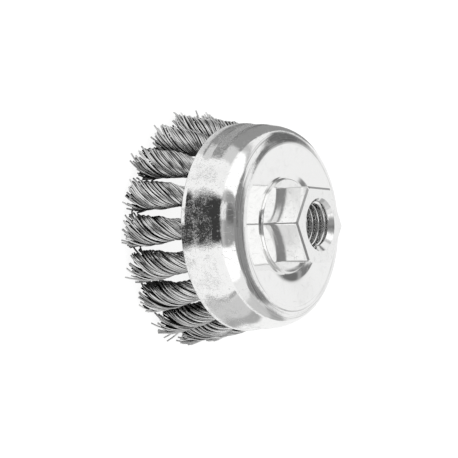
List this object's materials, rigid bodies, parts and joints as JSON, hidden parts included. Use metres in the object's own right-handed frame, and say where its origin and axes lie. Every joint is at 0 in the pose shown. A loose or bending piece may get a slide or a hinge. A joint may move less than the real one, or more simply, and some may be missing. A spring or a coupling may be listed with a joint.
{
  "type": "wire cup brush",
  "caption": "Twisted-knot wire cup brush: pressed steel cup on a flanged threaded arbor nut, with a ring of flared wire knots looped round an inner plate.",
  "frame": {"origin": "on the brush's turning axis, in the plane of the wire ends that it stands on", "axes": "+Z along the turning axis from the wire ends to the front of the arbor nut; -Y through the middle of the first knot, 3.1 degrees from a corner of the hexagon"},
  "size_m": [0.0672, 0.068, 0.0453],
  "materials": {
    "cup_steel": "bright zinc plating on smooth pressed sheet",
    "nut_steel": "bright zinc plating on a machined nut, fine tool marks",
    "plate_steel": "plain pressed sheet, dull",
    "wire_steel": "drawn steel wire, bright, lying in a twisted bundle"
  },
  "bodies": {
    "root": {"cup_shell": "cup_steel", "arbor_nut": "nut_steel", "knot_plate": "plate_steel", "knot_01": "wire_steel", "knot_02": "wire_steel", "knot_03": "wire_steel", "knot_04": "wire_steel", "knot_05": "wire_steel", "knot_06": "wire_steel", "knot_07": "wire_steel", "knot_08": "wire_steel", "knot_09": "wire_steel", "knot_10": "wire_steel", "knot_11": "wire_steel", "knot_12": "wire_steel", "knot_13": "wire_steel", "knot_14": "wire_steel", "knot_15": "wire_steel", "knot_16": "wire_steel", "knot_17": "wire_steel", "knot_18": "wire_steel"}
  },
  "joints": []
}
